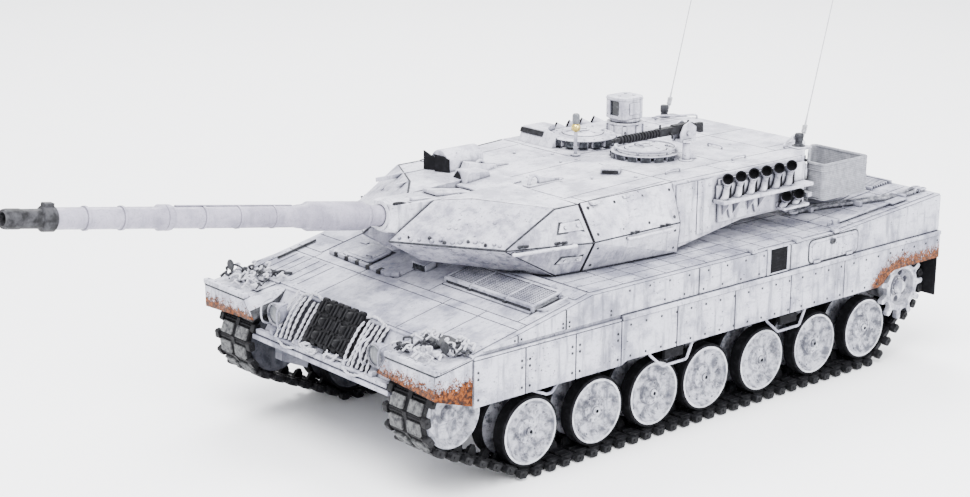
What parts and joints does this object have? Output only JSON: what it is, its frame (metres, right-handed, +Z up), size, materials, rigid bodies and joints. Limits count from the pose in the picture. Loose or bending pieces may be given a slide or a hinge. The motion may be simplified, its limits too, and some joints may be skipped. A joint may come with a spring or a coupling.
{
  "type": "radio-controlled model tank",
  "caption": "White winter-painted radio-controlled battle tank with sprung road wheels, toothed drive sprockets, turning turret, raised recoiling gun and open stowage bins.",
  "frame": {"origin": "on the ground under the middle of the overall length, gun included, on the centre plane", "axes": "-Y points forwards, where the gun points; +X is the tank's left side; +Z is up"},
  "size_m": [0.2344, 0.6438, 0.2617],
  "materials": {
    "hull_paint": "matt white winter paint, washed and chipped",
    "turret_paint": "matt white winter paint, light wash",
    "bin_grey": "matt light grey",
    "black_rubber": "dull black",
    "tyre_rubber": "dull black",
    "track_black": "black with grey wear",
    "track_pad": "dusty grey rubber",
    "wheel_paint": "pale grey-white, washed",
    "suspension_grey": "dark grey",
    "dark_metal": "black satin",
    "brass_ball": "polished",
    "optic_glass": "gloss black",
    "lamp_glass": "clear over silver",
    "net_cord": "pale grey cord",
    "gearbox_metal": "satin grey",
    "battery_wrap": "blue heat-shrink",
    "circuit_board": "green solder mask",
    "switch_black": "black"
  },
  "bodies": {
    "hull": {"hull_tub": "hull_paint", "hull_upper": "hull_paint", "skirt_left": "hull_paint", "skirt_right": "hull_paint", "mudflap_left": "black_rubber", "mudflap_right": "black_rubber", "battery_pack": "battery_wrap", "control_board": "circuit_board", "drive_unit_left": "gearbox_metal", "drive_unit_right": "gearbox_metal", "track_left": "track_black", "track_right": "track_black"},
    "turret": {"turret_shell": "turret_paint", "grenade_launchers_left": "turret_paint", "grenade_launchers_right": "turret_paint", "stowage_bin_left": "bin_grey", "stowage_bin_right": "bin_grey", "antenna_left": "dark_metal", "antenna_right": "dark_metal"},
    "mantlet": {"mantlet": "turret_paint"},
    "gun_barrel": {"gun_barrel": "turret_paint"},
    "commander_hatch": {"commander_hatch": "turret_paint"},
    "loader_hatch": {"loader_hatch": "turret_paint"},
    "panoramic_sight": {"panoramic_sight": "turret_paint"},
    "machine_gun": {"machine_gun": "dark_metal"},
    "driver_hatch": {"driver_hatch": "hull_paint"},
    "battery_door": {"battery_door": "hull_paint"},
    "power_switch": {"power_switch": "switch_black"},
    "sprocket_left": {"sprocket_left": "wheel_paint"},
    "idler_left": {"idler_left": "wheel_paint"},
    "arm_1_left": {"arm_1_left": "suspension_grey"},
    "road_wheel_1_left": {"road_wheel_1_left": "wheel_paint"},
    "arm_2_left": {"arm_2_left": "suspension_grey"},
    "road_wheel_2_left": {"road_wheel_2_left": "wheel_paint"},
    "arm_3_left": {"arm_3_left": "suspension_grey"},
    "road_wheel_3_left": {"road_wheel_3_left": "wheel_paint"},
    "arm_4_left": {"arm_4_left": "suspension_grey"},
    "road_wheel_4_left": {"road_wheel_4_left": "wheel_paint"},
    "arm_5_left": {"arm_5_left": "suspension_grey"},
    "road_wheel_5_left": {"road_wheel_5_left": "wheel_paint"},
    "arm_6_left": {"arm_6_left": "suspension_grey"},
    "road_wheel_6_left": {"road_wheel_6_left": "wheel_paint"},
    "arm_7_left": {"arm_7_left": "suspension_grey"},
    "road_wheel_7_left": {"road_wheel_7_left": "wheel_paint"},
    "sprocket_right": {"sprocket_right": "wheel_paint"},
    "idler_right": {"idler_right": "wheel_paint"},
    "arm_1_right": {"arm_1_right": "suspension_grey"},
    "road_wheel_1_right": {"road_wheel_1_right": "wheel_paint"},
    "arm_2_right": {"arm_2_right": "suspension_grey"},
    "road_wheel_2_right": {"road_wheel_2_right": "wheel_paint"},
    "arm_3_right": {"arm_3_right": "suspension_grey"},
    "road_wheel_3_right": {"road_wheel_3_right": "wheel_paint"},
    "arm_4_right": {"arm_4_right": "suspension_grey"},
    "road_wheel_4_right": {"road_wheel_4_right": "wheel_paint"},
    "arm_5_right": {"arm_5_right": "suspension_grey"},
    "road_wheel_5_right": {"road_wheel_5_right": "wheel_paint"},
    "arm_6_right": {"arm_6_right": "suspension_grey"},
    "road_wheel_6_right": {"road_wheel_6_right": "wheel_paint"},
    "arm_7_right": {"arm_7_right": "suspension_grey"},
    "road_wheel_7_right": {"road_wheel_7_right": "wheel_paint"}
  },
  "joints": [
    {"name": "turret_traverse", "type": "hinge", "parent": "hull", "child": "turret", "pos_m": [0, 0.08797, 0.105], "axis": [0, 0, 1], "continuous": true},
    {"name": "gun_elevation", "type": "hinge", "parent": "turret", "child": "mantlet", "pos_m": [0, 0.00297, 0.1303], "axis": [-1, 0, 0], "range_deg": [-14, 6]},
    {"name": "gun_recoil", "type": "slide", "parent": "mantlet", "child": "gun_barrel", "axis": [0, 0.988, -0.1547], "range_m": [0, 0.008], "stiffness_N_per_m": 60, "springref_m": -0.005},
    {"name": "commander_hatch_hinge", "type": "hinge", "parent": "turret", "child": "commander_hatch", "pos_m": [-0.036, 0.13737, 0.1613], "axis": [-1, 0, 0], "range_deg": [0, 95]},
    {"name": "loader_hatch_hinge", "type": "hinge", "parent": "turret", "child": "loader_hatch", "pos_m": [0.017, 0.14437, 0.1587], "axis": [-1, 0, 0], "range_deg": [0, 95]},
    {"name": "panoramic_sight_turn", "type": "hinge", "parent": "turret", "child": "panoramic_sight", "pos_m": [-0.043, 0.16897, 0.17], "axis": [0, 0, 1], "continuous": true},
    {"name": "machine_gun_swivel", "type": "hinge", "parent": "turret", "child": "machine_gun", "pos_m": [0.044, 0.13897, 0.168], "axis": [0, 0, 1], "range_deg": [-25, 25]},
    {"name": "driver_hatch_swing", "type": "hinge", "parent": "hull", "child": "driver_hatch", "pos_m": [-0.069, -0.05503, 0.10039], "axis": [0, -0.2074, 0.9783], "range_deg": [0, 80]},
    {"name": "battery_door_hinge", "type": "hinge", "parent": "hull", "child": "battery_door", "pos_m": [0.015, 0.16297, 0.0335], "axis": [0, -1, 0], "range_deg": [0, 90]},
    {"name": "power_switch_slide", "type": "slide", "parent": "hull", "child": "power_switch", "axis": [0, 1, 0], "range_m": [0, 0.004]},
    {"name": "sprocket_left_spin", "type": "hinge", "parent": "hull", "child": "sprocket_left", "pos_m": [0.087, 0.29597, 0.0515], "axis": [1, 0, 0], "continuous": true},
    {"name": "idler_left_spin", "type": "hinge", "parent": "hull", "child": "idler_left", "pos_m": [0.087, -0.10463, 0.0509], "axis": [1, 0, 0], "continuous": true},
    {"name": "suspension_1_left", "type": "hinge", "parent": "hull", "child": "arm_1_left", "pos_m": [0.064, -0.07253, 0.042], "axis": [1, 0, 0], "range_deg": [0, 9], "stiffness_Nm_per_rad": 0.35, "springref_deg": -14.32},
    {"name": "road_wheel_1_left_spin", "type": "hinge", "parent": "arm_1_left", "child": "road_wheel_1_left", "pos_m": [0.087, -0.04653, 0.0274], "axis": [1, 0, 0], "continuous": true},
    {"name": "suspension_2_left", "type": "hinge", "parent": "hull", "child": "arm_2_left", "pos_m": [0.064, -0.01893, 0.042], "axis": [1, 0, 0], "range_deg": [0, 9], "stiffness_Nm_per_rad": 0.35, "springref_deg": -14.32},
    {"name": "road_wheel_2_left_spin", "type": "hinge", "parent": "arm_2_left", "child": "road_wheel_2_left", "pos_m": [0.087, 0.00707, 0.0274], "axis": [1, 0, 0], "continuous": true},
    {"name": "suspension_3_left", "type": "hinge", "parent": "hull", "child": "arm_3_left", "pos_m": [0.064, 0.03027, 0.042], "axis": [1, 0, 0], "range_deg": [0, 9], "stiffness_Nm_per_rad": 0.35, "springref_deg": -14.32},
    {"name": "road_wheel_3_left_spin", "type": "hinge", "parent": "arm_3_left", "child": "road_wheel_3_left", "pos_m": [0.087, 0.05627, 0.0274], "axis": [1, 0, 0], "continuous": true},
    {"name": "suspension_4_left", "type": "hinge", "parent": "hull", "child": "arm_4_left", "pos_m": [0.064, 0.07707, 0.042], "axis": [1, 0, 0], "range_deg": [0, 9], "stiffness_Nm_per_rad": 0.35, "springref_deg": -14.32},
    {"name": "road_wheel_4_left_spin", "type": "hinge", "parent": "arm_4_left", "child": "road_wheel_4_left", "pos_m": [0.087, 0.10307, 0.0274], "axis": [1, 0, 0], "continuous": true},
    {"name": "suspension_5_left", "type": "hinge", "parent": "hull", "child": "arm_5_left", "pos_m": [0.064, 0.13017, 0.042], "axis": [1, 0, 0], "range_deg": [0, 9], "stiffness_Nm_per_rad": 0.35, "springref_deg": -14.32},
    {"name": "road_wheel_5_left_spin", "type": "hinge", "parent": "arm_5_left", "child": "road_wheel_5_left", "pos_m": [0.087, 0.15617, 0.0274], "axis": [1, 0, 0], "continuous": true},
    {"name": "suspension_6_left", "type": "hinge", "parent": "hull", "child": "arm_6_left", "pos_m": [0.064, 0.18337, 0.042], "axis": [1, 0, 0], "range_deg": [0, 9], "stiffness_Nm_per_rad": 0.35, "springref_deg": -14.32},
    {"name": "road_wheel_6_left_spin", "type": "hinge", "parent": "arm_6_left", "child": "road_wheel_6_left", "pos_m": [0.087, 0.20937, 0.0274], "axis": [1, 0, 0], "continuous": true},
    {"name": "suspension_7_left", "type": "hinge", "parent": "hull", "child": "arm_7_left", "pos_m": [0.064, 0.23647, 0.042], "axis": [1, 0, 0], "range_deg": [0, 8], "stiffness_Nm_per_rad": 0.35, "springref_deg": -14.32},
    {"name": "road_wheel_7_left_spin", "type": "hinge", "parent": "arm_7_left", "child": "road_wheel_7_left", "pos_m": [0.087, 0.26247, 0.0274], "axis": [1, 0, 0], "continuous": true},
    {"name": "sprocket_right_spin", "type": "hinge", "parent": "hull", "child": "sprocket_right", "pos_m": [-0.087, 0.29597, 0.0515], "axis": [1, 0, 0], "continuous": true},
    {"name": "idler_right_spin", "type": "hinge", "parent": "hull", "child": "idler_right", "pos_m": [-0.087, -0.10463, 0.0509], "axis": [1, 0, 0], "continuous": true},
    {"name": "suspension_1_right", "type": "hinge", "parent": "hull", "child": "arm_1_right", "pos_m": [-0.064, -0.07253, 0.042], "axis": [1, 0, 0], "range_deg": [0, 9], "stiffness_Nm_per_rad": 0.35, "springref_deg": -14.32},
    {"name": "road_wheel_1_right_spin", "type": "hinge", "parent": "arm_1_right", "child": "road_wheel_1_right", "pos_m": [-0.087, -0.04653, 0.0274], "axis": [1, 0, 0], "continuous": true},
    {"name": "suspension_2_right", "type": "hinge", "parent": "hull", "child": "arm_2_right", "pos_m": [-0.064, -0.01893, 0.042], "axis": [1, 0, 0], "range_deg": [0, 9], "stiffness_Nm_per_rad": 0.35, "springref_deg": -14.32},
    {"name": "road_wheel_2_right_spin", "type": "hinge", "parent": "arm_2_right", "child": "road_wheel_2_right", "pos_m": [-0.087, 0.00707, 0.0274], "axis": [1, 0, 0], "continuous": true},
    {"name": "suspension_3_right", "type": "hinge", "parent": "hull", "child": "arm_3_right", "pos_m": [-0.064, 0.03027, 0.042], "axis": [1, 0, 0], "range_deg": [0, 9], "stiffness_Nm_per_rad": 0.35, "springref_deg": -14.32},
    {"name": "road_wheel_3_right_spin", "type": "hinge", "parent": "arm_3_right", "child": "road_wheel_3_right", "pos_m": [-0.087, 0.05627, 0.0274], "axis": [1, 0, 0], "continuous": true},
    {"name": "suspension_4_right", "type": "hinge", "parent": "hull", "child": "arm_4_right", "pos_m": [-0.064, 0.07707, 0.042], "axis": [1, 0, 0], "range_deg": [0, 9], "stiffness_Nm_per_rad": 0.35, "springref_deg": -14.32},
    {"name": "road_wheel_4_right_spin", "type": "hinge", "parent": "arm_4_right", "child": "road_wheel_4_right", "pos_m": [-0.087, 0.10307, 0.0274], "axis": [1, 0, 0], "continuous": true},
    {"name": "suspension_5_right", "type": "hinge", "parent": "hull", "child": "arm_5_right", "pos_m": [-0.064, 0.13017, 0.042], "axis": [1, 0, 0], "range_deg": [0, 9], "stiffness_Nm_per_rad": 0.35, "springref_deg": -14.32},
    {"name": "road_wheel_5_right_spin", "type": "hinge", "parent": "arm_5_right", "child": "road_wheel_5_right", "pos_m": [-0.087, 0.15617, 0.0274], "axis": [1, 0, 0], "continuous": true},
    {"name": "suspension_6_right", "type": "hinge", "parent": "hull", "child": "arm_6_right", "pos_m": [-0.064, 0.18337, 0.042], "axis": [1, 0, 0], "range_deg": [0, 9], "stiffness_Nm_per_rad": 0.35, "springref_deg": -14.32},
    {"name": "road_wheel_6_right_spin", "type": "hinge", "parent": "arm_6_right", "child": "road_wheel_6_right", "pos_m": [-0.087, 0.20937, 0.0274], "axis": [1, 0, 0], "continuous": true},
    {"name": "suspension_7_right", "type": "hinge", "parent": "hull", "child": "arm_7_right", "pos_m": [-0.064, 0.23647, 0.042], "axis": [1, 0, 0], "range_deg": [0, 8], "stiffness_Nm_per_rad": 0.35, "springref_deg": -14.32},
    {"name": "road_wheel_7_right_spin", "type": "hinge", "parent": "arm_7_right", "child": "road_wheel_7_right", "pos_m": [-0.087, 0.26247, 0.0274], "axis": [1, 0, 0], "continuous": true}
  ],
  "couplings": [
    {"joint": "idler_left_spin", "follows": "sprocket_left_spin", "ratio": 0.8907},
    {"joint": "road_wheel_1_left_spin", "follows": "sprocket_left_spin", "ratio": 0.9202},
    {"joint": "road_wheel_2_left_spin", "follows": "sprocket_left_spin", "ratio": 0.9202},
    {"joint": "road_wheel_3_left_spin", "follows": "sprocket_left_spin", "ratio": 0.9202},
    {"joint": "road_wheel_4_left_spin", "follows": "sprocket_left_spin", "ratio": 0.9202},
    {"joint": "road_wheel_5_left_spin", "follows": "sprocket_left_spin", "ratio": 0.9202},
    {"joint": "road_wheel_6_left_spin", "follows": "sprocket_left_spin", "ratio": 0.9202},
    {"joint": "road_wheel_7_left_spin", "follows": "sprocket_left_spin", "ratio": 0.9202},
    {"joint": "idler_right_spin", "follows": "sprocket_right_spin", "ratio": 0.8907},
    {"joint": "road_wheel_1_right_spin", "follows": "sprocket_right_spin", "ratio": 0.9202},
    {"joint": "road_wheel_2_right_spin", "follows": "sprocket_right_spin", "ratio": 0.9202},
    {"joint": "road_wheel_3_right_spin", "follows": "sprocket_right_spin", "ratio": 0.9202},
    {"joint": "road_wheel_4_right_spin", "follows": "sprocket_right_spin", "ratio": 0.9202},
    {"joint": "road_wheel_5_right_spin", "follows": "sprocket_right_spin", "ratio": 0.9202},
    {"joint": "road_wheel_6_right_spin", "follows": "sprocket_right_spin", "ratio": 0.9202},
    {"joint": "road_wheel_7_right_spin", "follows": "sprocket_right_spin", "ratio": 0.9202}
  ]
}
